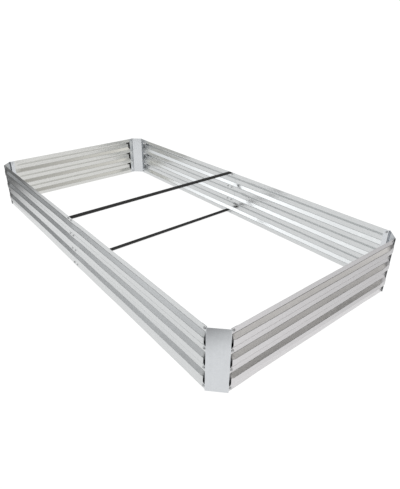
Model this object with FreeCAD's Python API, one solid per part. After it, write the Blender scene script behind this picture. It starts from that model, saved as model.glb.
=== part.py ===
import FreeCAD, Part
import math
import os

# Rectangular raised garden bed of ribbed galvanised sheet, open at the top and the bottom.
# Six wall panels meet at four bent corner plates, and two tie rods hold the long walls together.
# Millimetres, +Z up. X runs along the long walls and Y across the bed. The origin is on the
# ground under the middle of the bed.

# ---------------------------------------------------------------- overall sizes
BED_LENGTH = 2400.0
BED_WIDTH = 1200.0
BED_HEIGHT = 300.0

# ---------------------------------------------------------------- ribbed wall sheet
SHEET = 0.8
SHEET_BEND_RADIUS = 3.0
RIB_COUNT = 3
RIB_DEPTH = 14.0
RIB_FLAT = 27.0
RIB_SLOPE = 20.5
VALLEY_FLAT = 23.5
RIB_HEIGHT = RIB_FLAT + 2.0 * RIB_SLOPE
RIB_PITCH = RIB_HEIGHT + VALLEY_FLAT
EDGE_STRIP = (BED_HEIGHT - RIB_COUNT * RIB_HEIGHT - (RIB_COUNT - 1) * VALLEY_FLAT) / 2.0

# Outer faces of the sheet's valleys, behind the ribs.
VALLEY_X = BED_LENGTH / 2.0 - RIB_DEPTH
VALLEY_Y = BED_WIDTH / 2.0 - RIB_DEPTH

# ---------------------------------------------------------------- lapped middle joint of a long wall
# The left half of each long wall nests inside the right half, so it stands further in.
LAP_LENGTH = 70.0
LAP_STEP_IN = 1.0
SEAM_BOLT_X = 18.0

# ---------------------------------------------------------------- corner plates
# A bead along each fold stands out past the cut ends of the panels and covers them.
PLATE = 1.2
PLATE_BEND_RADIUS = 1.0
BEAD_DEPTH = 8.0
BEAD_RUN = 1.0
BEAD_FROM_CORNER = 58.9
CORNER_FLANGE = 26.0
BOLT_FROM_BEAD = 11.6
PANEL_END_FROM_BEAD = 2.6

# ---------------------------------------------------------------- tie rods
ROD_RADIUS = 9.5
ROD_WALL = 1.2
ROD_X = -SEAM_BOLT_X
COLLAR_THICKNESS = 2.0
PLUG_LENGTH = 22.0
PLUG_CLEARANCE = 0.05
ROD_END_CHAMFER = 0.4

# ---------------------------------------------------------------- fasteners, six millimetre thread
THREAD_RADIUS = 2.95
THREADED_BORE_RADIUS = 3.05
BOLT_HOLE_RADIUS = 3.75
ROUND_HOLE_RADIUS = 3.4
HEAD_RADIUS = 6.0
HEAD_RIM = 1.3
HEAD_HEIGHT = 3.6
RECESS_LENGTH = 6.4
RECESS_WIDTH = 1.3
RECESS_DEPTH = 1.8
TIP_CHAMFER = 0.6
CORNER_BOLT_LENGTH = 9.0
SEAM_BOLT_LENGTH = 9.0
ROD_BOLT_LENGTH = 20.0
NUT_ACROSS_FLATS = 10.0
NUT_HEIGHT = 5.0
NUT_CHAMFER_SLOPE = math.tan(math.radians(30.0))
WASHER_RADIUS = 6.4
WASHER_THICKNESS = 1.2

# ---------------------------------------------------------------- places that follow from the sizes
FLAT_CENTRES = [EDGE_STRIP / 2.0]
for rib in range(1, RIB_COUNT):
    FLAT_CENTRES.append(EDGE_STRIP + rib * RIB_PITCH - VALLEY_FLAT / 2.0)
FLAT_CENTRES.append(BED_HEIGHT - EDGE_STRIP / 2.0)
ROD_HEIGHTS = {"lower": FLAT_CENTRES[0], "upper": FLAT_CENTRES[-1]}

# Faces that the corner flanges lie against, and the outer valley faces of each half wall.
RIGHT_HALF_Y = VALLEY_Y
LEFT_HALF_Y = VALLEY_Y - LAP_STEP_IN
INSIDE_X = VALLEY_X - SHEET
RIGHT_INSIDE_Y = RIGHT_HALF_Y - SHEET
LEFT_INSIDE_Y = LEFT_HALF_Y - SHEET

# Distance of a panel's end and of a bolt from the inner corner of two walls.
END_FROM_CORNER = BEAD_FROM_CORNER + PANEL_END_FROM_BEAD
BOLT_FROM_CORNER = BEAD_FROM_CORNER + BOLT_FROM_BEAD
BOLT_FROM_END = BOLT_FROM_CORNER - END_FROM_CORNER

LONG_PANEL_LENGTH = INSIDE_X - END_FROM_CORNER + LAP_LENGTH / 2.0
END_PANEL_REACH = (RIGHT_INSIDE_Y + LEFT_INSIDE_Y) / 2.0 - END_FROM_CORNER

# Turn about +Z that takes the front wall, which faces -Y, to each wall.
FRONT = 0.0
RIGHT = 90.0
BACK = 180.0
LEFT = 270.0


# ================================================================ bent sheet
def left_normal(start, end):
    """Unit vector square to the run from start to end, on its left."""
    run = end - start
    return FreeCAD.Vector(-run.y, run.x, 0.0).normalize()


def offset_left(points, distance):
    """The open outline moved to its left, with mitred corners."""
    normals = [left_normal(a, b) for a, b in zip(points, points[1:])]
    moved = [points[0] + normals[0] * distance]
    for point, before, after in zip(points[1:-1], normals, normals[1:]):
        mitre = (before + after).normalize()
        moved.append(point + mitre * (distance / mitre.dot(before)))
    moved.append(points[-1] + normals[-1] * distance)
    return moved


def rounded_edges(points, radii):
    """Straight edges along the open outline, joined by tangent arcs of the given radii."""
    edges = []
    start = points[0]
    for index, radius in enumerate(radii, 1):
        corner = points[index]
        back = (points[index - 1] - corner).normalize()
        ahead = (points[index + 1] - corner).normalize()
        half = back.getAngle(ahead) / 2.0
        reach = radius / math.tan(half)
        middle = (back + ahead).normalize() * (radius / math.sin(half) - radius)
        arc_start = corner + back * reach
        arc_end = corner + ahead * reach
        edges.append(Part.LineSegment(start, arc_start).toShape())
        edges.append(Part.Arc(arc_start, corner + middle, arc_end).toShape())
        start = arc_end
    edges.append(Part.LineSegment(start, points[-1]).toShape())
    return edges


def bent_strip(points, thickness, inside_radius):
    """Face of a bent strip in the XY plane: the outline is its right side, bends are concentric."""
    other = offset_left(points, thickness)
    right_radii = []
    left_radii = []
    for before, corner, after in zip(points, points[1:], points[2:]):
        turns_left = left_normal(before, corner).dot(after - corner) > 0.0
        right_radii.append(inside_radius + thickness if turns_left else inside_radius)
        left_radii.append(inside_radius if turns_left else inside_radius + thickness)
    edges = rounded_edges(points, right_radii)
    edges += rounded_edges(other, left_radii)
    edges.append(Part.LineSegment(points[0], other[0]).toShape())
    edges.append(Part.LineSegment(points[-1], other[-1]).toShape())
    return Part.Face(Part.Wire(Part.__sortEdges__(edges)))


def turned(shape, angle, x=0.0, y=0.0, z=0.0):
    """Copy of the shape, turned about +Z and then moved."""
    copy = shape.copy()
    copy.rotate(FreeCAD.Vector(0, 0, 0), FreeCAD.Vector(0, 0, 1), angle)
    copy.translate(FreeCAD.Vector(x, y, z))
    return copy


# ================================================================ wall panels
def rib_outline():
    """Outer side of the ribbed sheet from bottom to top: x is how far it stands out, y is the height."""
    outline = [(0.0, 0.0)]
    height = EDGE_STRIP
    for rib in range(RIB_COUNT):
        outline.append((0.0, height))
        outline.append((RIB_DEPTH, height + RIB_SLOPE))
        outline.append((RIB_DEPTH, height + RIB_SLOPE + RIB_FLAT))
        outline.append((0.0, height + RIB_HEIGHT))
        height += RIB_PITCH
    outline.append((0.0, BED_HEIGHT))
    return [FreeCAD.Vector(out, up, 0.0) for out, up in outline]


def ribbed_panel(length, hole_columns):
    """Panel that faces -Y, runs along +X from the origin and has a bolt hole in each flat."""
    section = bent_strip(rib_outline(), SHEET, SHEET_BEND_RADIUS)
    section.rotate(FreeCAD.Vector(0, 0, 0), FreeCAD.Vector(1, 0, 0), 90.0)
    section.rotate(FreeCAD.Vector(0, 0, 0), FreeCAD.Vector(0, 0, 1), -90.0)
    panel = section.extrude(FreeCAD.Vector(length, 0, 0))
    holes = []
    for along in hole_columns:
        for height in FLAT_CENTRES:
            base = FreeCAD.Vector(along, -SHEET, height)
            holes.append(Part.makeCylinder(BOLT_HOLE_RADIUS, 3.0 * SHEET, base, FreeCAD.Vector(0, 1, 0)))
    return panel.cut(holes)


def long_panel():
    """Half of a long wall, from its corner end at x = 0 to its lapped end."""
    lap_middle = LONG_PANEL_LENGTH - LAP_LENGTH / 2.0
    return ribbed_panel(LONG_PANEL_LENGTH, [BOLT_FROM_END, lap_middle - SEAM_BOLT_X, lap_middle + SEAM_BOLT_X])


def end_panel():
    """Whole short wall."""
    length = 2.0 * END_PANEL_REACH
    return ribbed_panel(length, [BOLT_FROM_END, length - BOLT_FROM_END])


def wall_panels():
    half = long_panel()
    flipped_half = half.mirror(FreeCAD.Vector(0, 0, 0), FreeCAD.Vector(1, 0, 0))
    end = end_panel()
    corner_end = INSIDE_X - END_FROM_CORNER
    return {
        "front_panel_left": turned(half, FRONT, -corner_end, -LEFT_HALF_Y),
        "front_panel_right": turned(flipped_half, FRONT, corner_end, -RIGHT_HALF_Y),
        "back_panel_left": turned(flipped_half, BACK, -corner_end, LEFT_HALF_Y),
        "back_panel_right": turned(half, BACK, corner_end, RIGHT_HALF_Y),
        "left_end_panel": turned(end, LEFT, -VALLEY_X, END_PANEL_REACH),
        "right_end_panel": turned(end, RIGHT, VALLEY_X, -END_PANEL_REACH),
    }


# ================================================================ corner plates
def corner_plate():
    """Plate for the front right corner, whose two walls' inner faces meet at the origin."""
    plan = [
        FreeCAD.Vector(-BEAD_FROM_CORNER - CORNER_FLANGE, 0.0, 0.0),
        FreeCAD.Vector(-BEAD_FROM_CORNER - BEAD_RUN, 0.0, 0.0),
        FreeCAD.Vector(-BEAD_FROM_CORNER, -BEAD_DEPTH, 0.0),
        FreeCAD.Vector(BEAD_DEPTH, BEAD_FROM_CORNER, 0.0),
        FreeCAD.Vector(0.0, BEAD_FROM_CORNER + BEAD_RUN, 0.0),
        FreeCAD.Vector(0.0, BEAD_FROM_CORNER + CORNER_FLANGE, 0.0),
    ]
    plate = bent_strip(plan, PLATE, PLATE_BEND_RADIUS).extrude(FreeCAD.Vector(0, 0, BED_HEIGHT))
    holes = []
    for height in FLAT_CENTRES:
        front = FreeCAD.Vector(-BOLT_FROM_CORNER, -PLATE, height)
        side = FreeCAD.Vector(PLATE, BOLT_FROM_CORNER, height)
        holes.append(Part.makeCylinder(ROUND_HOLE_RADIUS, 3.0 * PLATE, front, FreeCAD.Vector(0, 1, 0)))
        holes.append(Part.makeCylinder(ROUND_HOLE_RADIUS, 3.0 * PLATE, side, FreeCAD.Vector(-1, 0, 0)))
    return plate.cut(holes)


# Each corner: the inner faces of its walls, the turn from the front right one, and its two walls.
# The first wall's flange runs along that wall before the bend, and the second wall's after it.
CORNERS = {
    "front_right": (INSIDE_X, -RIGHT_INSIDE_Y, FRONT),
    "back_right": (INSIDE_X, RIGHT_INSIDE_Y, RIGHT),
    "back_left": (-INSIDE_X, LEFT_INSIDE_Y, BACK),
    "front_left": (-INSIDE_X, -LEFT_INSIDE_Y, LEFT),
}


def corner_plates():
    plate = corner_plate()
    return {"corner_plate_" + name: turned(plate, turn, x, y) for name, (x, y, turn) in CORNERS.items()}


# ================================================================ fasteners
def bolt(length):
    """Pan head bolt along +Y, with the underside of its head at the origin."""
    tip = length - TIP_CHAMFER
    body_outline = [
        (0.0, 0.0),
        (HEAD_RADIUS, 0.0),
        (HEAD_RADIUS, -HEAD_RIM),
    ]
    head_side = FreeCAD.Vector(HEAD_RADIUS, -HEAD_RIM, 0.0)
    head_top = FreeCAD.Vector(0.0, -HEAD_HEIGHT, 0.0)
    crown = HEAD_HEIGHT - HEAD_RIM
    dome_radius = (HEAD_RADIUS ** 2 + crown ** 2) / (2.0 * crown)
    half_way = HEAD_RADIUS / 2.0
    dome_drop = dome_radius - math.sqrt(dome_radius ** 2 - half_way ** 2)
    head_middle = FreeCAD.Vector(half_way, -HEAD_HEIGHT + dome_drop, 0.0)
    points = [FreeCAD.Vector(radius, along, 0.0) for radius, along in body_outline]
    edges = [Part.LineSegment(a, b).toShape() for a, b in zip(points, points[1:])]
    edges.append(Part.Arc(head_side, head_middle, head_top).toShape())
    edges.append(Part.LineSegment(head_top, points[0]).toShape())
    axis = FreeCAD.Vector(0, 1, 0)
    head = Part.Face(Part.Wire(edges)).revolve(FreeCAD.Vector(0, 0, 0), axis, 360.0)
    shank = Part.makeCylinder(THREAD_RADIUS, tip, FreeCAD.Vector(0, 0, 0), axis)
    tip_cone = Part.makeCone(
        THREAD_RADIUS, THREAD_RADIUS - TIP_CHAMFER, TIP_CHAMFER, FreeCAD.Vector(0, tip, 0), axis)
    recess = []
    for across, tall in ((RECESS_LENGTH, RECESS_WIDTH), (RECESS_WIDTH, RECESS_LENGTH)):
        corner = FreeCAD.Vector(-across / 2.0, -HEAD_HEIGHT, -tall / 2.0)
        recess.append(Part.makeBox(across, RECESS_DEPTH, tall, corner))
    return head.fuse([shank, tip_cone]).cut(recess).removeSplitter()


def nut():
    """Hexagon nut along +Y, with its bearing face at y = 0."""
    corner_radius = NUT_ACROSS_FLATS / 2.0 / math.cos(math.radians(30.0))
    corners = []
    for step in range(7):
        turn = math.radians(60.0 * step + 30.0)
        corners.append(FreeCAD.Vector(corner_radius * math.sin(turn), 0.0, corner_radius * math.cos(turn)))
    hexagon = Part.Face(Part.makePolygon(corners)).extrude(FreeCAD.Vector(0, NUT_HEIGHT, 0))
    flat_radius = NUT_ACROSS_FLATS / 2.0
    chamfer = (corner_radius - flat_radius) * NUT_CHAMFER_SLOPE
    middle = NUT_HEIGHT - 2.0 * chamfer
    axis = FreeCAD.Vector(0, 1, 0)
    barrel = Part.makeCone(flat_radius, corner_radius, chamfer, FreeCAD.Vector(0, 0, 0), axis)
    barrel = barrel.fuse([
        Part.makeCylinder(corner_radius, middle, FreeCAD.Vector(0, chamfer, 0), axis),
        Part.makeCone(corner_radius, flat_radius, chamfer, FreeCAD.Vector(0, chamfer + middle, 0), axis),
    ])
    bore = Part.makeCylinder(THREADED_BORE_RADIUS, 3.0 * NUT_HEIGHT, FreeCAD.Vector(0, -NUT_HEIGHT, 0), axis)
    return hexagon.common(barrel).cut(bore)


def washer():
    """Flat washer along +Y, from the origin inwards."""
    axis = FreeCAD.Vector(0, 1, 0)
    disc = Part.makeCylinder(WASHER_RADIUS, WASHER_THICKNESS, FreeCAD.Vector(0, 0, 0), axis)
    hole = Part.makeCylinder(ROUND_HOLE_RADIUS, WASHER_THICKNESS, FreeCAD.Vector(0, 0, 0), axis)
    return disc.cut(hole)


def corner_fasteners():
    """Bolts and nuts of each corner, four through each of its two walls."""
    corner_bolt = bolt(CORNER_BOLT_LENGTH)
    plain_nut = nut()
    groups = {}
    for name, (corner_x, corner_y, _) in CORNERS.items():
        side_x = math.copysign(1.0, corner_x)
        side_y = math.copysign(1.0, corner_y)
        long_wall = (FRONT if side_y < 0 else BACK, corner_x - side_x * BOLT_FROM_CORNER, corner_y)
        short_wall = (RIGHT if side_x > 0 else LEFT, corner_x, corner_y - side_y * BOLT_FROM_CORNER)
        bolts = []
        nuts = []
        for turn, x, y in (long_wall, short_wall):
            inward = turned(Part.Vertex(0, 1, 0), turn).Point
            outer = FreeCAD.Vector(x, y, 0) - inward * SHEET
            inner = FreeCAD.Vector(x, y, 0) + inward * PLATE
            for height in FLAT_CENTRES:
                bolts.append(turned(corner_bolt, turn, outer.x, outer.y, height))
                nuts.append(turned(plain_nut, turn, inner.x, inner.y, height))
        groups["corner_bolts_" + name] = Part.makeCompound(bolts)
        groups["corner_nuts_" + name] = Part.makeCompound(nuts)
    return groups


def seam_fasteners():
    """Bolts and nuts of the lapped joints, in the holes that the tie rods leave free."""
    seam_bolt = bolt(SEAM_BOLT_LENGTH)
    plain_nut = nut()
    groups = {}
    for name, turn, side in (("front", FRONT, -1.0), ("back", BACK, 1.0)):
        bolts = []
        nuts = []
        for x in (-SEAM_BOLT_X, SEAM_BOLT_X):
            for height in FLAT_CENTRES:
                if x == ROD_X and height in ROD_HEIGHTS.values():
                    continue
                bolts.append(turned(seam_bolt, turn, x, side * RIGHT_HALF_Y, height))
                nuts.append(turned(plain_nut, turn, x, side * LEFT_INSIDE_Y, height))
        groups["seam_bolts_" + name] = Part.makeCompound(bolts)
        groups["seam_nuts_" + name] = Part.makeCompound(nuts)
    return groups


# ================================================================ tie rods
def rod_plug():
    """Threaded plug for a rod's front end: its collar bears on the wall at the origin."""
    axis = FreeCAD.Vector(0, 1, 0)
    start = FreeCAD.Vector(0, 0, 0)
    collar = Part.makeCylinder(ROD_RADIUS, COLLAR_THICKNESS, start, axis)
    body_radius = ROD_RADIUS - ROD_WALL - PLUG_CLEARANCE
    body = Part.makeCylinder(body_radius, PLUG_LENGTH, start, axis)
    bore = Part.makeCylinder(THREADED_BORE_RADIUS, PLUG_LENGTH, start, axis)
    return collar.fuse(body).removeSplitter().cut(bore)


def rod_tube():
    """Tube between the collars of its two plugs, along +Y with its middle at the origin."""
    reach = LEFT_INSIDE_Y - COLLAR_THICKNESS
    axis = FreeCAD.Vector(0, 1, 0)
    start = FreeCAD.Vector(0, -reach, 0)
    tube = Part.makeCylinder(ROD_RADIUS, 2.0 * reach, start, axis)
    rims = [edge for edge in tube.Edges if len(edge.Vertexes) == 1]
    tube = tube.makeChamfer(ROD_END_CHAMFER, rims)
    return tube.cut(Part.makeCylinder(ROD_RADIUS - ROD_WALL, 2.0 * reach, start, axis))


def tie_rods():
    tube = rod_tube()
    plug = rod_plug()
    rod_bolt = bolt(ROD_BOLT_LENGTH)
    flat_washer = washer()
    groups = {}
    bolts = []
    washers = []
    head_seat = RIGHT_HALF_Y + WASHER_THICKNESS
    for name, height in ROD_HEIGHTS.items():
        groups[name + "_tie_rod"] = turned(tube, FRONT, ROD_X, 0.0, height)
        plugs = [
            turned(plug, FRONT, ROD_X, -LEFT_INSIDE_Y, height),
            turned(plug, BACK, ROD_X, LEFT_INSIDE_Y, height),
        ]
        groups[name + "_tie_rod_plugs"] = Part.makeCompound(plugs)
        for turn, side in ((FRONT, -1.0), (BACK, 1.0)):
            bolts.append(turned(rod_bolt, turn, ROD_X, side * head_seat, height))
            washers.append(turned(flat_washer, turn, ROD_X, side * head_seat, height))
    groups["tie_rod_bolts"] = Part.makeCompound(bolts)
    groups["tie_rod_washers"] = Part.makeCompound(washers)
    return groups


# ================================================================ the whole bed
def garden_bed():
    nodes = {}
    nodes.update(wall_panels())
    nodes.update(corner_plates())
    nodes.update(corner_fasteners())
    nodes.update(seam_fasteners())
    nodes.update(tie_rods())
    return nodes


os.makedirs("parts", exist_ok=True)
for node, shape in garden_bed().items():
    shape.exportStep("parts/" + node + ".step")
    print(node, len(shape.Solids), shape.isValid(), round(shape.Volume, 1))
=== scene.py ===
import math

import bmesh
import bpy
from bpy.props import FloatProperty, FloatVectorProperty, PointerProperty
from bpy.types import Operator, Panel, PropertyGroup
from mathutils import Matrix, Vector, noise


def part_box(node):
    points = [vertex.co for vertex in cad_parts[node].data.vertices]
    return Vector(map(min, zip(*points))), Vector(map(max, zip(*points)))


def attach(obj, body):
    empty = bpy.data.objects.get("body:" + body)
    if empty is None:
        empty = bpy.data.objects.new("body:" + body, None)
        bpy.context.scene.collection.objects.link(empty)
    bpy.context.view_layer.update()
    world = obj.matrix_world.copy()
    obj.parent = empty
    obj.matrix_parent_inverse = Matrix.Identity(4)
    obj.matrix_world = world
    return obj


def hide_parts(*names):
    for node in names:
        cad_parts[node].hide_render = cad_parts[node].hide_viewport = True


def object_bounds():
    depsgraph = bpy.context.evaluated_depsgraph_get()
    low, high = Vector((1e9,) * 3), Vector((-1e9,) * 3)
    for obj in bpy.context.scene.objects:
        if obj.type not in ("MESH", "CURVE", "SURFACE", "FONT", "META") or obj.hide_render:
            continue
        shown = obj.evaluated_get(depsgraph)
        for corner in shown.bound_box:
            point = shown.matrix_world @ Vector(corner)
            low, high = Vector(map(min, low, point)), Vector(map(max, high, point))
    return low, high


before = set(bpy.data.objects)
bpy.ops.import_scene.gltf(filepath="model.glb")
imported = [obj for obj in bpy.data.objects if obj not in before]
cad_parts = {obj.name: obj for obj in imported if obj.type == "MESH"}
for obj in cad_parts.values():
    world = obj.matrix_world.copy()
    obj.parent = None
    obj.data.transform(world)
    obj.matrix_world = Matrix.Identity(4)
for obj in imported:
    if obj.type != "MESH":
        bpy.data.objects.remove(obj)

bl_info = {
    "name": "Raised Garden Bed",
    "version": (1, 0, 0),
    "blender": (4, 5, 0),
    "location": "3D View > Sidebar > Garden Bed",
    "description": "Finishes a ribbed galvanised garden bed and sets its studio stage",
    "category": "Object",
}

ROOT = "root"
CAD_LOW, CAD_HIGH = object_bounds()
BED_HEIGHT = CAD_HIGH.z - CAD_LOW.z

X_AXIS = 0
Y_AXIS = 1
Z_AXIS = 2

# Node of each wall sheet: the axis that it runs along, the axis that it faces, and its outward sign.
WALL_SHEETS = {
    "front_panel_left": (X_AXIS, Y_AXIS, -1.0),
    "front_panel_right": (X_AXIS, Y_AXIS, -1.0),
    "back_panel_left": (X_AXIS, Y_AXIS, 1.0),
    "back_panel_right": (X_AXIS, Y_AXIS, 1.0),
    "left_end_panel": (Y_AXIS, X_AXIS, -1.0),
    "right_end_panel": (Y_AXIS, X_AXIS, 1.0),
}
CORNERS = ("front_right", "back_right", "back_left", "front_left")

# Section of the ribbed sheet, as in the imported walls. The edge strips are flat, above and below the ribs.
SHEET = 0.0008
RIB_COUNT = 3
RIB_DEPTH = 0.014
RIB_FLAT = 0.027
RIB_SLOPE = 0.0205
VALLEY_FLAT = 0.0235
EDGE_STRIP = (BED_HEIGHT - RIB_COUNT * (RIB_FLAT + 2.0 * RIB_SLOPE) - (RIB_COUNT - 1) * VALLEY_FLAT) / 2.0

# Corner plates, along X and along Y from the bed's middle: each flange lies a small gap inside the flats
# of its wall, and has a bead beside it, whose crest is nearer the corner.
PLATE_GAP = 0.0004
BEAD_FROM_CORNER = 0.0589
WALL_INSIDES = tuple(side - RIB_DEPTH - SHEET for side in (CAD_HIGH.x, CAD_HIGH.y))
FLANGE_FACES = tuple(inside - PLATE_GAP for inside in WALL_INSIDES)
BEAD_CRESTS = tuple(inside - BEAD_FROM_CORNER for inside in WALL_INSIDES)


# ================================================================ settings
class BedSheetSettings(PropertyGroup):
    zinc_colour: FloatVectorProperty(
        name="Zinc Colour", description="Colour of the galvanised wall sheets",
        subtype="COLOR", size=3, default=(0.650, 0.664, 0.668), min=0.0, max=1.0)
    left_zinc_colour: FloatVectorProperty(
        name="Left End Zinc Colour", description="Colour of the left end wall, a little warmer",
        subtype="COLOR", size=3, default=(0.668, 0.668, 0.648), min=0.0, max=1.0)
    right_zinc_colour: FloatVectorProperty(
        name="Right End Zinc Colour", description="Colour of the right end wall",
        subtype="COLOR", size=3, default=(0.672, 0.660, 0.670), min=0.0, max=1.0)
    plate_colour: FloatVectorProperty(
        name="Plate Colour", description="Colour of the galvanised corner plates",
        subtype="COLOR", size=3, default=(0.655, 0.674, 0.695), min=0.0, max=1.0)
    roughness: FloatProperty(
        name="Roughness", description="How dull the zinc is between its spangles",
        default=0.20, min=0.0, max=1.0)
    spangle: FloatProperty(
        name="Spangle Size", description="Width of one zinc crystal",
        subtype="DISTANCE", unit="LENGTH", default=0.011, min=0.001, max=0.05)
    wave_height: FloatProperty(
        name="Wave Height", description="How far the thin sheet wanders from flat",
        subtype="DISTANCE", unit="LENGTH", default=0.0022, min=0.0, max=0.004)
    edge_ripple: FloatProperty(
        name="Edge Ripple", description="How far the free top and bottom edges wander from flat",
        subtype="DISTANCE", unit="LENGTH", default=0.0008, min=0.0, max=0.003)
    wave_length: FloatProperty(
        name="Wave Length", description="Length of one slow wave of the sheet",
        subtype="DISTANCE", unit="LENGTH", default=0.34, min=0.05, max=2.0)
    slice_length: FloatProperty(
        name="Slice Length", description="Length of sheet between two rows of mesh points",
        subtype="DISTANCE", unit="LENGTH", default=0.02, min=0.005, max=0.2)


class BedHardwareSettings(PropertyGroup):
    coat_colour: FloatVectorProperty(
        name="Coat Colour", description="Colour of the powder coat on the tie rods",
        subtype="COLOR", size=3, default=(0.005, 0.005, 0.0055), min=0.0, max=1.0)
    coat_roughness: FloatProperty(
        name="Coat Roughness", description="How dull the powder coat is",
        default=0.42, min=0.0, max=1.0)
    zinc_plate_colour: FloatVectorProperty(
        name="Bolt Colour", description="Colour of the plated bolts, nuts and washers",
        subtype="COLOR", size=3, default=(0.56, 0.57, 0.58), min=0.0, max=1.0)


class BedStageSettings(PropertyGroup):
    camera_azimuth: FloatProperty(
        name="Camera Azimuth", description="Direction of the view about the bed, in degrees",
        default=53.34142)
    camera_elevation: FloatProperty(
        name="Camera Elevation", description="Angle of the view above the horizon, in degrees",
        default=27.57499)
    camera_roll: FloatProperty(
        name="Camera Roll", description="Tilt of the picture, in degrees", default=-0.7252)
    camera_place: FloatVectorProperty(
        name="Camera Place", description="Where the camera stands", subtype="XYZ", unit="LENGTH",
        size=3, default=(1.97509, -1.33397, 1.24146))
    focal_pixels: FloatProperty(
        name="Focal Length", description="Focal length in pixels of the picture", default=419.85)
    middle_pixels: FloatVectorProperty(
        name="Optical Middle", description="Where the lens axis meets the picture, in pixels",
        size=2, default=(178.399, 235.617))
    key_strength: FloatProperty(
        name="Soft Box", description="Power of the soft box", subtype="POWER", unit="POWER",
        default=3.2)


# ================================================================ node helpers
def add_node(tree, kind, settings=None, inputs=None):
    """New shader node with its own settings and its unlinked input values."""
    made = tree.nodes.new(kind)
    for name, value in (settings or {}).items():
        setattr(made, name, value)
    for socket, value in (inputs or {}).items():
        made.inputs[socket].default_value = value
    return made


def math_node(tree, operation, *terms):
    """Math node whose terms are numbers or sockets."""
    made = add_node(tree, "ShaderNodeMath", {"operation": operation})
    for index, term in enumerate(terms):
        if isinstance(term, (int, float)):
            made.inputs[index].default_value = term
        else:
            tree.links.new(term, made.inputs[index])
    return made.outputs[0]


def product(tree, total, *factors):
    """Product of sockets and numbers."""
    for factor in factors:
        total = math_node(tree, "MULTIPLY", total, factor)
    return total


def map_range(tree, value, low, high, to_low, to_high, smooth=False):
    """A value moved from one range to another, and kept inside it."""
    made = add_node(
        tree, "ShaderNodeMapRange", {"interpolation_type": "SMOOTHSTEP" if smooth else "LINEAR"},
        {"From Min": low, "From Max": high, "To Min": to_low, "To Max": to_high})
    tree.links.new(value, made.inputs["Value"])
    return made.outputs[0]


def split(tree, vector):
    """Sockets X, Y and Z of a place or a direction."""
    made = add_node(tree, "ShaderNodeSeparateXYZ")
    tree.links.new(vector, made.inputs[0])
    return made.outputs


def noise_texture(tree, vector, values):
    """Noise at a place, with its own values."""
    made = add_node(tree, "ShaderNodeTexNoise", inputs=values)
    tree.links.new(vector, made.inputs["Vector"])
    return made


def tinted(tree, factor, low_colour, high_colour):
    """Colour between two colours, by a value from 0 to 1."""
    mix = add_node(tree, "ShaderNodeMix", {"data_type": "RGBA"})
    tree.links.new(factor, mix.inputs["Factor"])
    mix.inputs["A"].default_value = (*low_colour, 1.0)
    mix.inputs["B"].default_value = (*high_colour, 1.0)
    return mix.outputs["Result"]


def blended(tree, mask, under, colour):
    """A plain colour laid over a socket's colour by a mask."""
    mix = add_node(tree, "ShaderNodeMix", {"data_type": "RGBA"})
    tree.links.new(mask, mix.inputs["Factor"])
    tree.links.new(under, mix.inputs["A"])
    mix.inputs["B"].default_value = (*colour, 1.0)
    return mix.outputs["Result"]


# ================================================================ shared surface effects
# Noise of this scale moves the borders of the crystals by up to this far, so that none is straight.
CRYSTAL_WARP_SCALE = 60.0
CRYSTAL_WARP = 0.008


def new_group(name, inputs, outputs):
    """Shader node group: inputs are (name, socket, default), and outputs are the names of values."""
    tree = bpy.data.node_groups.new(name, "ShaderNodeTree")
    for label, kind, default in inputs:
        socket = tree.interface.new_socket(name=label, in_out="INPUT", socket_type=kind)
        if default is not None:
            socket.default_value = default
    for label in outputs:
        tree.interface.new_socket(name=label, in_out="OUTPUT", socket_type="NodeSocketFloat")
    return tree, tree.nodes.new("NodeGroupInput"), tree.nodes.new("NodeGroupOutput")


def spangle_group(name):
    """Zinc crystals: each has its own brightness and dullness."""
    tree, given, result = new_group(
        name,
        [("Vector", "NodeSocketVector", None), ("Crystal Scale", "NodeSocketFloat", 90.0)],
        ["Shade", "Dullness"])
    warp = noise_texture(tree, given.outputs["Vector"], {"Scale": CRYSTAL_WARP_SCALE, "Detail": 2.0})
    shifted = add_node(tree, "ShaderNodeVectorMath", {"operation": "MULTIPLY_ADD"})
    shifted.inputs[1].default_value = (CRYSTAL_WARP, CRYSTAL_WARP, CRYSTAL_WARP)
    tree.links.new(warp.outputs["Color"], shifted.inputs[0])
    tree.links.new(given.outputs["Vector"], shifted.inputs[2])
    crystals = add_node(tree, "ShaderNodeTexVoronoi", {"feature": "F1"})
    tree.links.new(shifted.outputs[0], crystals.inputs["Vector"])
    tree.links.new(given.outputs["Crystal Scale"], crystals.inputs["Scale"])
    parts = add_node(tree, "ShaderNodeSeparateColor")
    tree.links.new(crystals.outputs["Color"], parts.inputs[0])
    tree.links.new(parts.outputs[0], result.inputs["Shade"])
    tree.links.new(parts.outputs[1], result.inputs["Dullness"])
    return tree


def rolled_grain_group(name):
    """Fine streaks along the direction in which the sheet was rolled."""
    tree, given, result = new_group(
        name,
        [("Vector", "NodeSocketVector", None), ("Stretch", "NodeSocketVector", (8.0, 400.0, 400.0))],
        ["Streaks"])
    stretched = add_node(tree, "ShaderNodeVectorMath", {"operation": "MULTIPLY"})
    tree.links.new(given.outputs["Vector"], stretched.inputs[0])
    tree.links.new(given.outputs["Stretch"], stretched.inputs[1])
    streaks = noise_texture(tree, stretched.outputs[0], {"Scale": 1.0, "Detail": 3.0, "Roughness": 0.6})
    tree.links.new(streaks.outputs[0], result.inputs["Streaks"])
    return tree


def handling_group(name):
    """Soft patches where handling has left a finish duller or brighter."""
    tree, given, result = new_group(
        name,
        [("Vector", "NodeSocketVector", None), ("Patch Scale", "NodeSocketFloat", 3.0)],
        ["Patches"])
    patches = noise_texture(tree, given.outputs["Vector"], {"Detail": 3.0, "Roughness": 0.55})
    tree.links.new(given.outputs["Patch Scale"], patches.inputs["Scale"])
    tree.links.new(patches.outputs[0], result.inputs["Patches"])
    return tree


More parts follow.
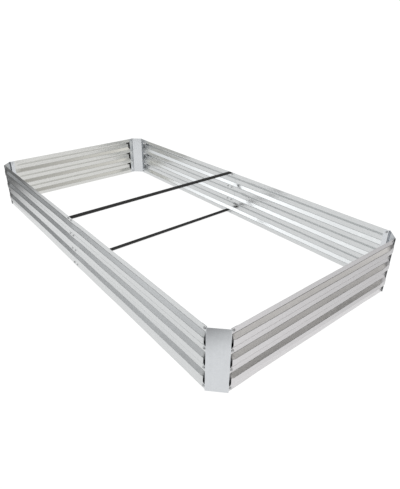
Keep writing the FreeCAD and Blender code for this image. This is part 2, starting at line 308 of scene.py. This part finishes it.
def band_group(name):
    """Soft band where a distance is small, with a ragged rim, for worn edges and for painted shade at the
    plates' folds.
    """
    tree, given, result = new_group(
        name,
        [("Vector", "NodeSocketVector", None), ("Distance", "NodeSocketFloat", 0.0),
         ("Reach", "NodeSocketFloat", 0.002), ("Raggedness", "NodeSocketFloat", 0.001),
         ("Rag Scale", "NodeSocketFloat", 240.0)],
        ["Mask"])
    rag = noise_texture(tree, given.outputs["Vector"], {"Detail": 3.0})
    tree.links.new(given.outputs["Rag Scale"], rag.inputs["Scale"])
    centred = math_node(tree, "SUBTRACT", rag.outputs[0], 0.5)
    moved = math_node(tree, "MULTIPLY", centred, given.outputs["Raggedness"])
    distance = math_node(tree, "ADD", given.outputs["Distance"], moved)
    share = math_node(tree, "DIVIDE", distance, given.outputs["Reach"])
    clear = math_node(tree, "MAXIMUM", math_node(tree, "SUBTRACT", 1.0, share), 0.0)
    tree.links.new(math_node(tree, "MINIMUM", clear, 1.0), result.inputs["Mask"])
    return tree


SHARED_EFFECTS = {
    "Zinc Spangle": spangle_group,
    "Rolled Grain": rolled_grain_group,
    "Handling Marks": handling_group,
    "Ragged Band": band_group,
}


def place_effect(tree, name, vector, values):
    """A shared effect in a material, with its own values. The first use of an effect builds its group."""
    group = bpy.data.node_groups.get(name) or SHARED_EFFECTS[name](name)
    made = add_node(tree, "ShaderNodeGroup", {"node_tree": group}, values)
    tree.links.new(vector, made.inputs["Vector"])
    return made


# ================================================================ materials
# A noise texture from 0 to 1 seldom leaves this range.
NOISE_RANGE = (0.3, 0.7)
# How much each effect adds to the zinc's shade, and the shares of its colour at a shade of 0 and of 1.
CRYSTAL_SHADE = 0.15
PATCH_SHADES = (0.3, 0.7)
STREAK_SHADE = 0.15
ZINC_SHARES = (0.95, 1.05)
# How much each effect adds to the zinc's roughness.
CRYSTAL_DULLNESS = 0.025
PATCH_DULLNESS = 0.02
# How fine the rolled grain is across the rolling direction and along it.
GRAIN_ACROSS = 420.0
GRAIN_ALONG = 6.0
GRAIN_RELIEF = {"Strength": 0.05, "Distance": 0.0003}
# The zinc is darker in a worn band at the rims. The plates' flanges get painted shade behind the rib ends,
# a dark band where their gaps would fall in shadow.
WORN_RIM = {"Reach": 0.0022, "Raggedness": 0.003, "Rag Scale": 160.0}
RIM_SHARE = 0.86
FOLD_SHADE_BAND = {"Reach": 0.0005, "Raggedness": 0.0006, "Rag Scale": 200.0}
FOLD_SHADE_COLOUR = (0.15, 0.15, 0.155)
# Shares of the powder coat's colour, what is added to its roughness, and its orange peel.
COAT_SHARES = (0.7, 1.6)
COAT_DULLNESS = (-0.06, 0.08)
PEEL = {"Scale": 900.0, "Detail": 2.0}
PEEL_RELIEF = {"Strength": 0.35, "Distance": 0.0002}
# Shares of the plated hardware's colour, and its roughness.
BOLT_SHARES = (0.8, 1.15)
BOLT_ROUGHNESS = (0.22, 0.38)
# How fine the handling marks are on each finish.
ZINC_MARKS = {"Patch Scale": 3.2}
COAT_MARKS = {"Patch Scale": 9.0}
BOLT_MARKS = {"Patch Scale": 160.0}


def new_material(name):
    """New material, its node tree, its shader and the object coordinates."""
    material = bpy.data.materials.new(name)
    material.use_nodes = True
    shader = material.node_tree.nodes["Principled BSDF"]
    place = add_node(material.node_tree, "ShaderNodeTexCoord")
    return material, material.node_tree, shader, place.outputs["Object"]


def scaled(colour, share):
    return tuple(part * share for part in colour)


def shaded(tree, factor, colour, shares):
    """Colour between two shares of a colour, by a value from 0 to 1."""
    low_share, high_share = shares
    return tinted(tree, factor, scaled(colour, low_share), scaled(colour, high_share))


def spread(tree, value, low, high):
    """A noise value spread from one value to another."""
    return map_range(tree, value, *NOISE_RANGE, low, high)


def relief(tree, shader, height, values):
    """Fine unevenness of a surface."""
    bump = add_node(tree, "ShaderNodeBump", inputs=values)
    tree.links.new(height, bump.inputs["Height"])
    tree.links.new(bump.outputs["Normal"], shader.inputs["Normal"])


def rim_distance(tree, vector):
    """Distance from the bed's top or bottom rim, whichever is nearer."""
    height = split(tree, vector)["Z"]
    from_top = math_node(tree, "SUBTRACT", BED_HEIGHT, height)
    return math_node(tree, "MINIMUM", from_top, height)


def flange_distance(tree, vector):
    """Distance of a place on a corner plate from the outer sides of its two flanges."""
    parts = split(tree, vector)
    sizes = [math_node(tree, "ABSOLUTE", parts[axis]) for axis in ("X", "Y")]
    flanges = []
    for along, out in ((X_AXIS, Y_AXIS), (Y_AXIS, X_AXIS)):
        past_crest = math_node(tree, "SUBTRACT", sizes[along], BEAD_CRESTS[along])
        inside_face = math_node(tree, "SUBTRACT", FLANGE_FACES[out], sizes[out])
        flanges.append(math_node(tree, "MAXIMUM", past_crest, inside_face))
    return math_node(tree, "MINIMUM", *flanges)


def zinc_finish(tree, crystals, marks, grain, colour, roughness):
    """Colour and roughness of clean zinc, out of its crystals, handling marks and rolled grain."""
    crystal_shade = map_range(tree, crystals.outputs["Shade"], 0.0, 1.0, -CRYSTAL_SHADE, CRYSTAL_SHADE)
    patch_shade = spread(tree, marks.outputs["Patches"], *PATCH_SHADES)
    streak_shade = spread(tree, grain.outputs["Streaks"], -STREAK_SHADE, STREAK_SHADE)
    shade = math_node(tree, "ADD", math_node(tree, "ADD", crystal_shade, patch_shade), streak_shade)
    crystal_dull = map_range(
        tree, crystals.outputs["Dullness"], 0.0, 1.0, -CRYSTAL_DULLNESS, CRYSTAL_DULLNESS)
    patch_dull = spread(
        tree, marks.outputs["Patches"], roughness - PATCH_DULLNESS, roughness + PATCH_DULLNESS)
    return shaded(tree, shade, colour, ZINC_SHARES), math_node(tree, "ADD", crystal_dull, patch_dull)


def galvanised_material(name, colour, along, settings, fold_shade=False):
    """Zinc coated steel, rolled along an axis and worn at its rims. With fold shade, a plate gets painted
    shade on its flanges, behind the rib ends.
    """
    material, tree, shader, vector = new_material(name)
    stretch = [GRAIN_ACROSS, GRAIN_ACROSS, GRAIN_ACROSS]
    stretch[along] = GRAIN_ALONG
    crystals = place_effect(tree, "Zinc Spangle", vector, {"Crystal Scale": 1.0 / settings.spangle})
    grain = place_effect(tree, "Rolled Grain", vector, {"Stretch": stretch})
    marks = place_effect(tree, "Handling Marks", vector, ZINC_MARKS)
    zinc, dullness = zinc_finish(tree, crystals, marks, grain, colour, settings.roughness)
    rim = place_effect(tree, "Ragged Band", vector, WORN_RIM)
    tree.links.new(rim_distance(tree, vector), rim.inputs["Distance"])
    finish = blended(tree, rim.outputs["Mask"], zinc, scaled(colour, RIM_SHARE))
    if fold_shade:
        # Painted shade: a dark band on the flanges' outer sides, behind the rib ends.
        shade_band = place_effect(tree, "Ragged Band", vector, FOLD_SHADE_BAND)
        tree.links.new(flange_distance(tree, vector), shade_band.inputs["Distance"])
        finish = blended(tree, shade_band.outputs["Mask"], finish, FOLD_SHADE_COLOUR)
    tree.links.new(finish, shader.inputs["Base Color"])
    tree.links.new(dullness, shader.inputs["Roughness"])
    shader.inputs["Metallic"].default_value = 1.0
    relief(tree, shader, grain.outputs["Streaks"], GRAIN_RELIEF)
    return material


def powder_coat_material(colour, roughness):
    """Black powder coat with its fine orange peel."""
    material, tree, shader, vector = new_material("Black powder coat")
    patches = place_effect(tree, "Handling Marks", vector, COAT_MARKS).outputs["Patches"]
    low_dullness, high_dullness = COAT_DULLNESS
    dullness = spread(tree, patches, roughness + low_dullness, roughness + high_dullness)
    tree.links.new(shaded(tree, patches, colour, COAT_SHARES), shader.inputs["Base Color"])
    tree.links.new(dullness, shader.inputs["Roughness"])
    relief(tree, shader, noise_texture(tree, vector, PEEL).outputs[0], PEEL_RELIEF)
    return material


def plated_material(colour):
    """Bright zinc plate of the small hardware."""
    material, tree, shader, vector = new_material("Plated fasteners")
    patches = place_effect(tree, "Handling Marks", vector, BOLT_MARKS).outputs["Patches"]
    tree.links.new(shaded(tree, patches, colour, BOLT_SHARES), shader.inputs["Base Color"])
    tree.links.new(spread(tree, patches, *BOLT_ROUGHNESS), shader.inputs["Roughness"])
    shader.inputs["Metallic"].default_value = 1.0
    return material


def dress(piece, material):
    """Puts one material in every slot of a piece."""
    if not piece.data.materials:
        piece.data.materials.append(material)
    for index in range(len(piece.data.materials)):
        piece.data.materials[index] = material


# ================================================================ wall sheets
# Each bend's rounding, and the points that hold the flats straight this far before and after it.
BEND_REACH = 0.0022
BEND_STEPS = 4
BEND_HOLD = 0.003
# Short slices at both ends of a sheet, for the ribs that are pressed flatter there.
FINE_SLICE = 0.005
FINE_COUNT = 15
# Mesh points that are nearer than this along the sheet are in the same row.
SAME_ROW = 1e-6
# Where a corner joint has pressed the ribs flatter, at each sheet's low end and high end: how far in
# from the end this reaches, and the share of its depth that a rib keeps at the end.
WHOLE = (0.01, 1.0)
PINCHED = (0.01, 0.78)
PRESSED = (0.07, 0.60)
FLATTENED_ENDS = {
    "front_panel_left": (PRESSED, WHOLE),
    "front_panel_right": (WHOLE, PINCHED),
    "back_panel_left": (PINCHED, WHOLE),
    "back_panel_right": (WHOLE, PINCHED),
    "left_end_panel": (PRESSED, PINCHED),
    "right_end_panel": (PINCHED, PRESSED),
}
# The waves and the edge ripple start at the first distance from a fastened end, and are whole from the
# second on.
NO_RIPPLE = 0.05
FULL_RIPPLE = 0.16
# Smooth noise seldom reaches 1, so it is raised by this before it is held between -1 and 1.
NOISE_GAIN = 1.6
# The edge ripple's length, and how far apart its two rims, the waves and the sheets lie in the noise.
EDGE_RIPPLE_LENGTH = 0.13
RIM_APART = 5.0
RIPPLE_FROM_WAVES = 11.0
SHEETS_APART = 3.7
# Edges that bend by more degrees than this are shaded sharp.
SHARP_ANGLE = 50.0


def rib_points():
    """Outline of the sheet's outer side from bottom to top: how far it stands out, and its height."""
    points = [Vector((0.0, 0.0))]
    height = EDGE_STRIP
    for _ in range(RIB_COUNT):
        points += [Vector((0.0, height)), Vector((RIB_DEPTH, height + RIB_SLOPE))]
        height += RIB_SLOPE + RIB_FLAT
        points += [Vector((RIB_DEPTH, height)), Vector((0.0, height + RIB_SLOPE))]
        height += RIB_SLOPE + VALLEY_FLAT
    points.append(Vector((0.0, BED_HEIGHT)))
    return points


def outline_edges(shell, along, out, start, face, sign):
    """Ribbed outline as a chain of edges at the sheet's start, with its bends rounded."""
    def outline_vert(point):
        place = Vector((0.0, 0.0, point.y))
        place[along] = start
        place[out] = sign * (face + point.x)
        return shell.verts.new(place)

    corners = rib_points()
    bends = []
    last = outline_vert(corners[0])
    for lower, upper in zip(corners, corners[1:]):
        step = (upper - lower).normalized() * BEND_HOLD
        chain = [outline_vert(lower + step), outline_vert(upper - step), outline_vert(upper)]
        for vert in chain:
            shell.edges.new((last, vert))
            last = vert
        bends.append(last)
    bmesh.ops.bevel(
        shell, geom=bends[:-1], offset=BEND_REACH, segments=BEND_STEPS, profile=0.5,
        affect="VERTICES", material=-1)
    return shell.edges[:]


def slice_lengths(length, usual):
    """Lengths of the slices from one end of a sheet to the other, shorter beside both ends."""
    fine = [FINE_SLICE] * FINE_COUNT
    middle = length - 2.0 * FINE_SLICE * FINE_COUNT
    count = round(middle / usual)
    return fine + [middle / count] * count + fine


def grown_sheet(shell, along, front, lengths):
    """Draws the outline out along the sheet, slice by slice."""
    onward = Vector((0.0, 0.0, 0.0))
    onward[along] = 1.0
    for length in lengths:
        grown = bmesh.ops.extrude_edge_only(shell, edges=front)["geom"]
        moved = [part for part in grown if isinstance(part, bmesh.types.BMVert)]
        bmesh.ops.translate(shell, vec=onward * length, verts=moved)
        edges = [part for part in grown if isinstance(part, bmesh.types.BMEdge)]
        front = [edge for edge in edges
                 if abs(edge.verts[0].co[along] - edge.verts[1].co[along]) < SAME_ROW]


def eased(share):
    """A share held from 0 to 1, with a soft start and end."""
    share = min(1.0, max(0.0, share))
    return share * share * (3.0 - 2.0 * share)


def swing(place):
    """Smooth noise from 0 to 1."""
    return 0.5 + 0.5 * max(-1.0, min(1.0, NOISE_GAIN * noise.noise(place)))


def wave_at(along, height, seed, settings):
    """Slow wave of the sheet, from 0 to the wave height."""
    place = Vector((along / settings.wave_length, height / settings.wave_length, seed))
    return swing(place) * settings.wave_height


def edge_ripple(along, height, seed, settings):
    """Ripple of the sheet's free top or bottom edge, from 0 to the ripple height."""
    rim = round(height / BED_HEIGHT)
    place = Vector((along / EDGE_RIPPLE_LENGTH, rim * RIM_APART, seed + RIPPLE_FROM_WAVES))
    return swing(place) * settings.edge_ripple


def rippled(shell, node_name, low, high, seed, settings):
    """Presses a sheet's ribs flatter at the corners, and moves it inwards away from its fastened ends."""
    along, out, sign = WALL_SHEETS[node_name]
    ends = (low[along], high[along])
    valley = min(sign * vert.co[out] for vert in shell.verts)
    for vert in shell.verts:
        for end, (reach, end_share) in zip(ends, FLATTENED_ENDS[node_name]):
            whole = eased(abs(end - vert.co[along]) / reach)
            depth = sign * vert.co[out] - valley
            vert.co[out] -= sign * depth * (1.0 - end_share) * (1.0 - whole)
        from_end = min(vert.co[along] - low[along], high[along] - vert.co[along])
        free = eased((from_end - NO_RIPPLE) / (FULL_RIPPLE - NO_RIPPLE))
        wave = free * wave_at(vert.co[along], vert.co.z, seed, settings)
        from_bend = max(EDGE_STRIP - vert.co.z, vert.co.z - BED_HEIGHT + EDGE_STRIP, 0.0) / EDGE_STRIP
        ripple = free * from_bend ** 2 * edge_ripple(vert.co[along], vert.co.z, seed, settings)
        vert.co[out] -= sign * (wave + ripple)


def finish_piece(shell, name, replaced, material):
    """Turns a bmesh into a smooth shaded piece that rides on the bed."""
    mesh = bpy.data.meshes.new(name)
    shell.to_mesh(mesh)
    shell.free()
    mesh.polygons.foreach_set("use_smooth", [True] * len(mesh.polygons))
    mesh.set_sharp_from_angle(angle=math.radians(SHARP_ANGLE))
    piece = bpy.data.objects.new(name, mesh)
    bpy.context.scene.collection.objects.link(piece)
    dress(piece, material)
    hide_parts(replaced)
    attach(piece, ROOT)
    return piece


def wall_sheet(node_name, seed, settings, material):
    """Ribbed wall sheet with the slow waves that a thin sheet has between its fasteners."""
    along, out, sign = WALL_SHEETS[node_name]
    low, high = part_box(node_name)
    ridge = high[out] if sign > 0.0 else -low[out]
    shell = bmesh.new()
    outline = outline_edges(shell, along, out, low[along], ridge - RIB_DEPTH, sign)
    grown_sheet(shell, along, outline, slice_lengths(high[along] - low[along], settings.slice_length))
    rippled(shell, node_name, low, high, seed, settings)
    bmesh.ops.recalc_face_normals(shell, faces=shell.faces)
    shell.faces.ensure_lookup_table()
    if sign * shell.faces[0].normal[out] < 0.0:
        bmesh.ops.reverse_faces(shell, faces=shell.faces)
    bmesh.ops.solidify(shell, geom=shell.faces[:], thickness=SHEET)
    return finish_piece(shell, node_name + "_sheet", node_name, material)


class GARDENBED_OT_wall_sheets(Operator):
    """Builds the six ribbed wall sheets with their slow waves"""
    bl_idname = "gardenbed.wall_sheets"
    bl_label = "Wall Sheets"

    def execute(self, context):
        settings = context.scene.bed_sheets
        long_walls = galvanised_material("Galvanised long wall", settings.zinc_colour, X_AXIS, settings)
        ends = {
            "left_end_panel": galvanised_material(
                "Galvanised left end", settings.left_zinc_colour, Y_AXIS, settings),
            "right_end_panel": galvanised_material(
                "Galvanised right end", settings.right_zinc_colour, Y_AXIS, settings),
        }
        for index, node_name in enumerate(WALL_SHEETS):
            wall_sheet(node_name, SHEETS_APART * index, settings, ends.get(node_name, long_walls))
        return {"FINISHED"}


# ================================================================ corner plates
class GARDENBED_OT_corner_plates(Operator):
    """Gives the four corner plates their galvanised finish"""
    bl_idname = "gardenbed.corner_plates"
    bl_label = "Corner Plates"

    def execute(self, context):
        settings = context.scene.bed_sheets
        # The plates get painted shade on their flanges, behind the rib ends.
        material = galvanised_material(
            "Galvanised corner plate", settings.plate_colour, Z_AXIS, settings, fold_shade=True)
        for corner in CORNERS:
            dress(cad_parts["corner_plate_" + corner], material)
        return {"FINISHED"}


# ================================================================ hardware
class GARDENBED_OT_fasteners(Operator):
    """Gives the bolts, nuts and washers their plated finish"""
    bl_idname = "gardenbed.fasteners"
    bl_label = "Fasteners"

    def execute(self, context):
        material = plated_material(context.scene.bed_hardware.zinc_plate_colour)
        for node_name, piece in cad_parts.items():
            if "bolts" in node_name or "nuts" in node_name or "washers" in node_name:
                dress(piece, material)
        return {"FINISHED"}


class GARDENBED_OT_tie_rods(Operator):
    """Gives the two tie rods and their plugs a black powder coat"""
    bl_idname = "gardenbed.tie_rods"
    bl_label = "Tie Rods"

    def execute(self, context):
        settings = context.scene.bed_hardware
        material = powder_coat_material(settings.coat_colour, settings.coat_roughness)
        for level in ("upper", "lower"):
            for part in ("_tie_rod", "_tie_rod_plugs"):
                dress(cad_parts[level + part], material)
        return {"FINISHED"}


# ================================================================ stage
PICTURE_WIDTH = 400.0
PICTURE_HEIGHT = 489.0
SENSOR = 36.0
NEAREST_SEEN = 0.05
FARTHEST_SEEN = 60.0

# How strongly the floor and the background glow to the camera, and the background's colour to it.
WHITE = 1.10
PLAIN_WHITE = (1.0, 1.0, 1.0)

# The floor reaches this far from the middle each way. A small share of it is matt and takes shadows, and
# the rest glows.
FLOOR_REACH = 24.0
FLOOR_GLOW = 1.03
MATT_SHARE = 0.12
MATT_COLOUR = (0.9, 0.9, 0.9, 1.0)
# How bright the metal sees the floor, whose light changes over this width at the walls. In front of
# the bed it dims towards the left, by these places along X and shares. Left of the bed it does so too, and
# grows whole again between these places along Y.
WALL_EDGE = 0.02
FLOOR_LEFT = ((-1.64, 0.12), (-1.42, 0.36), (-1.22, 0.66), (-0.98, 0.86), (-0.70, 1.0))
LEFT_FADE_START = -0.52
LEFT_FADE_END = -0.20
# Right of the bed it loses a share towards the back, between these places along Y.
FAR_START = -0.55
FAR_END = 1.30
FAR_LOSS = 0.36
# Round this place near the camera it is dark up to the first distance, and whole from the second on.
DARK_SPOT = (1.64, -1.58, 0.0)
SPOT_SHARE = 0.10
SPOT_DARK_REACH = 0.67
SPOT_WHITE_REACH = 0.95
# Far from the bed it darkens too.
SWEEP_START = 2.4
SWEEP_END = 4.2
SWEEP_DARK = 0.14

SOFT_BOX_DIRECTION = (-42.0, 34.0)
SOFT_BOX_DISTANCE = 4.5
SOFT_BOX_WIDTH = 2.6
SOFT_BOX_HEIGHT = 1.6
SOFT_BOX_AIM = (0.0, 0.0, 0.1)

# Each soft patch of the sky: azimuth, elevation, inner and outer radius in degrees, and strength.
SKY_PATCHES = (
    (-36.0, 34.0, 6.0, 26.0, 0.30),
    (-49.0, 27.5, 3.0, 14.0, 0.50),
    (-27.0, 36.5, 3.0, 8.0, 0.36),
    (-42.0, 8.0, 6.0, 22.0, 0.16),
    (-34.0, 18.0, 4.0, 14.0, -0.26),
    (60.0, 22.0, 8.0, 24.0, 0.55),
    (100.0, 54.0, 6.0, 28.0, -0.34),
    (116.5, 7.0, 3.5, 8.5, -0.50),
    (126.0, 3.0, 4.0, 12.0, -0.24),
    (140.0, 3.0, 4.0, 12.0, -0.24),
    (154.0, 3.0, 8.0, 16.0, 0.45),
    (150.0, 40.0, 10.0, 34.0, 0.36),
)
# Brightness of the sky without its patches, by how far up a direction points: -1 is straight down, and 1
# is straight up.
SKY_LIGHT = (
    (-1.0, 0.10), (0.0, 0.12), (0.05, 0.17), (0.10, 0.34), (0.15, 0.42), (0.168, 0.47), (0.195, 0.80),
    (0.30, 0.80), (0.50, 0.72), (1.0, 0.72))
DARKEST_SKY = 0.04
# Tint of the sky on the left and on the right, and how far sideways a direction points at each.
COOL_SIDE = (0.98, 0.99, 1.0)
WARM_SIDE = (1.0, 0.988, 0.945)
SIDEWAYS = 0.5
# Where a new stop of a colour ramp starts, before it gets its own place.
NEW_STOP = 0.5


def toward(azimuth, elevation):
    """Direction from the bed, by angles in degrees: azimuth 0 is the front and 90 the right."""
    turn = math.radians(azimuth)
    rise = math.radians(elevation)
    return Vector((math.sin(turn) * math.cos(rise), -math.cos(turn) * math.cos(rise), math.sin(rise)))


def photo_camera(settings):
    """Camera at the photograph's place, with its framing."""
    azimuth = math.radians(settings.camera_azimuth)
    roll = math.radians(settings.camera_roll)
    back = toward(settings.camera_azimuth, settings.camera_elevation)
    right = Vector((math.cos(azimuth), math.sin(azimuth), 0.0))
    up = back.cross(right)
    rolled_right = right * math.cos(roll) + up * math.sin(roll)
    rolled_up = up * math.cos(roll) - right * math.sin(roll)
    turn = Matrix((rolled_right, rolled_up, back)).transposed()
    lens = bpy.data.cameras.new("Photo camera")
    lens.sensor_width = SENSOR
    lens.lens = settings.focal_pixels * SENSOR / PICTURE_HEIGHT
    lens.shift_x = (PICTURE_WIDTH / 2.0 - settings.middle_pixels[0]) / PICTURE_HEIGHT
    lens.shift_y = (settings.middle_pixels[1] - PICTURE_HEIGHT / 2.0) / PICTURE_HEIGHT
    lens.clip_start = NEAREST_SEEN
    lens.clip_end = FARTHEST_SEEN
    camera = bpy.data.objects.new("Photo camera", lens)
    camera.matrix_world = Matrix.Translation(settings.camera_place) @ turn.to_4x4()
    bpy.context.scene.collection.objects.link(camera)
    bpy.context.scene.camera = camera


def ramp(tree, value, stops):
    """Brightness that follows a value: each stop is a value and its brightness."""
    low = stops[0][0]
    high = stops[-1][0]
    made = add_node(tree, "ShaderNodeValToRGB")
    tree.links.new(map_range(tree, value, low, high, 0.0, 1.0), made.inputs["Fac"])
    elements = made.color_ramp.elements
    while len(elements) < len(stops):
        elements.new(NEW_STOP)
    for element, (place, brightness) in zip(elements, stops):
        element.position = (place - low) / (high - low)
        element.color = (brightness, brightness, brightness, 1.0)
    return made.outputs["Color"]


def white_to_camera(tree, camera_ray, strength):
    """Plain white to the camera, and the given strength to every other ray."""
    mix = add_node(tree, "ShaderNodeMix", {"data_type": "FLOAT"}, {"B": WHITE})
    tree.links.new(camera_ray, mix.inputs["Factor"])
    tree.links.new(strength, mix.inputs["A"])
    return mix.outputs["Result"]


def left_light(tree, parts):
    """Share of the floor's light as it dims towards the left, in front of the bed and left of it."""
    fade = ramp(tree, parts["X"], FLOOR_LEFT)
    behind_front = map_range(tree, parts["Y"], CAD_LOW.y - WALL_EDGE, CAD_LOW.y, 0.0, 1.0)
    past_left = map_range(tree, parts["X"], CAD_LOW.x - WALL_EDGE, CAD_LOW.x, 0.0, 1.0)
    beside_left = map_range(tree, parts["Y"], LEFT_FADE_START, LEFT_FADE_END, 0.0, 1.0, smooth=True)
    whole = math_node(tree, "MAXIMUM", product(tree, behind_front, past_left), beside_left)
    return math_node(tree, "MAXIMUM", fade, whole)


def spot_light(tree, place):
    """Share of the floor's light round the dark spot near the camera."""
    offset = add_node(tree, "ShaderNodeVectorMath", {"operation": "DISTANCE"})
    tree.links.new(place, offset.inputs[0])
    offset.inputs[1].default_value = DARK_SPOT
    return map_range(
        tree, offset.outputs["Value"], SPOT_DARK_REACH, SPOT_WHITE_REACH, SPOT_SHARE, 1.0, smooth=True)


def right_light(tree, parts):
    """Share of the floor's light as it dims towards the back, right of the bed."""
    far = map_range(tree, parts["Y"], FAR_START, FAR_END, 0.0, FAR_LOSS)
    outside = map_range(tree, parts["X"], CAD_HIGH.x, CAD_HIGH.x + WALL_EDGE, 0.0, 1.0)
    return math_node(tree, "SUBTRACT", 1.0, product(tree, far, outside))


def sweep_light(tree, place):
    """Share of the floor's light as it darkens far from the bed."""
    middle = add_node(tree, "ShaderNodeVectorMath", {"operation": "LENGTH"})
    tree.links.new(place, middle.inputs[0])
    return map_range(tree, middle.outputs["Value"], SWEEP_END, SWEEP_START, SWEEP_DARK, 1.0, smooth=True)


def pale_floor():
    """White sweep that the bed stands on: plain white to the camera, and dimmer in places to the metal."""
    sheet = bmesh.new()
    bmesh.ops.create_grid(sheet, x_segments=1, y_segments=1, size=FLOOR_REACH)
    mesh = bpy.data.meshes.new("Floor")
    sheet.to_mesh(mesh)
    sheet.free()
    floor = bpy.data.objects.new("Floor", mesh)
    bpy.context.scene.collection.objects.link(floor)
    material = bpy.data.materials.new("White sweep")
    material.use_nodes = True
    tree = material.node_tree
    tree.nodes.remove(tree.nodes["Principled BSDF"])
    place = add_node(tree, "ShaderNodeTexCoord").outputs["Object"]
    parts = split(tree, place)
    light = product(
        tree, left_light(tree, parts), spot_light(tree, place), right_light(tree, parts),
        sweep_light(tree, place), FLOOR_GLOW)
    camera_ray = add_node(tree, "ShaderNodeLightPath").outputs["Is Camera Ray"]
    glow = add_node(tree, "ShaderNodeEmission")
    tree.links.new(white_to_camera(tree, camera_ray, light), glow.inputs["Strength"])
    matt = add_node(tree, "ShaderNodeBsdfDiffuse", inputs={"Color": MATT_COLOUR})
    surface = add_node(tree, "ShaderNodeMixShader", inputs={"Fac": MATT_SHARE})
    tree.links.new(glow.outputs[0], surface.inputs[1])
    tree.links.new(matt.outputs[0], surface.inputs[2])
    tree.links.new(surface.outputs[0], tree.nodes["Material Output"].inputs["Surface"])
    mesh.materials.append(material)


def studio_light(settings):
    """Large soft box high on the left, in front of the bed."""
    lamp = bpy.data.lights.new("Soft box", "AREA")
    lamp.shape = "RECTANGLE"
    lamp.size = SOFT_BOX_WIDTH
    lamp.size_y = SOFT_BOX_HEIGHT
    lamp.energy = settings.key_strength
    light = bpy.data.objects.new("Soft box", lamp)
    place = toward(*SOFT_BOX_DIRECTION) * SOFT_BOX_DISTANCE
    aim = (Vector(SOFT_BOX_AIM) - place).to_track_quat("-Z", "Y")
    light.matrix_world = Matrix.Translation(place) @ aim.to_matrix().to_4x4()
    light.visible_camera = False
    bpy.context.scene.collection.objects.link(light)


def soft_patch(tree, direction, azimuth, elevation, inner, outer, strength):
    """Soft round patch of the sky: brighter, or darker when its strength is negative."""
    facing = add_node(tree, "ShaderNodeVectorMath", {"operation": "DOT_PRODUCT"})
    tree.links.new(direction, facing.inputs[0])
    facing.inputs[1].default_value = toward(azimuth, elevation).normalized()
    return map_range(
        tree, facing.outputs["Value"], math.cos(math.radians(outer)), math.cos(math.radians(inner)),
        0.0, strength, smooth=True)


def studio_sky():
    """Pale room for the metal to reflect, and a white background behind the bed."""
    world = bpy.data.worlds.new("Studio")
    bpy.context.scene.world = world
    world.use_nodes = True
    tree = world.node_tree
    background = tree.nodes["Background"]
    direction = add_node(tree, "ShaderNodeTexCoord").outputs["Generated"]
    parts = split(tree, direction)
    total = ramp(tree, parts["Z"], SKY_LIGHT)
    for patch in SKY_PATCHES:
        total = math_node(tree, "ADD", soft_patch(tree, direction, *patch), total)
    total = math_node(tree, "MAXIMUM", total, DARKEST_SKY)
    camera_ray = add_node(tree, "ShaderNodeLightPath").outputs["Is Camera Ray"]
    tree.links.new(white_to_camera(tree, camera_ray, total), background.inputs["Strength"])
    side = map_range(tree, parts["X"], -SIDEWAYS, SIDEWAYS, 0.0, 1.0)
    tint = tinted(tree, side, COOL_SIDE, WARM_SIDE)
    tree.links.new(blended(tree, camera_ray, tint, PLAIN_WHITE), background.inputs["Color"])


class GARDENBED_OT_stage(Operator):
    """Sets the camera, the white floor and the soft studio light"""
    bl_idname = "gardenbed.stage"
    bl_label = "Studio Stage"

    def execute(self, context):
        settings = context.scene.bed_stage
        context.scene.view_settings.view_transform = "Standard"
        photo_camera(settings)
        pale_floor()
        studio_light(settings)
        studio_sky()
        return {"FINISHED"}


# ================================================================ panel and registration
BUILD_ORDER = (
    ("stage", GARDENBED_OT_stage),
    ("wall_sheets", GARDENBED_OT_wall_sheets),
    ("corner_plates", GARDENBED_OT_corner_plates),
    ("fasteners", GARDENBED_OT_fasteners),
    ("tie_rods", GARDENBED_OT_tie_rods),
)


class GARDENBED_PT_panel(Panel):
    """Lists the steps that finish the bed"""
    bl_idname = "GARDENBED_PT_panel"
    bl_label = "Raised Garden Bed"
    bl_space_type = "VIEW_3D"
    bl_region_type = "UI"
    bl_category = "Garden Bed"

    def draw(self, context):
        for _, operator in BUILD_ORDER:
            self.layout.operator(operator.bl_idname)
        for settings in (context.scene.bed_sheets, context.scene.bed_hardware, context.scene.bed_stage):
            for name in settings.__annotations__:
                self.layout.prop(settings, name)


SETTINGS = {
    "bed_sheets": BedSheetSettings,
    "bed_hardware": BedHardwareSettings,
    "bed_stage": BedStageSettings,
}
CLASSES = (*SETTINGS.values(), *(operator for _, operator in BUILD_ORDER), GARDENBED_PT_panel)


def register():
    for entry in CLASSES:
        bpy.utils.register_class(entry)
    for name, group in SETTINGS.items():
        setattr(bpy.types.Scene, name, PointerProperty(type=group))


def unregister():
    for name in SETTINGS:
        delattr(bpy.types.Scene, name)
    for entry in reversed(CLASSES):
        bpy.utils.unregister_class(entry)


def main():
    register()
    for name, _ in BUILD_ORDER:
        getattr(bpy.ops.gardenbed, name)()


if __name__ == "__main__":
    main()
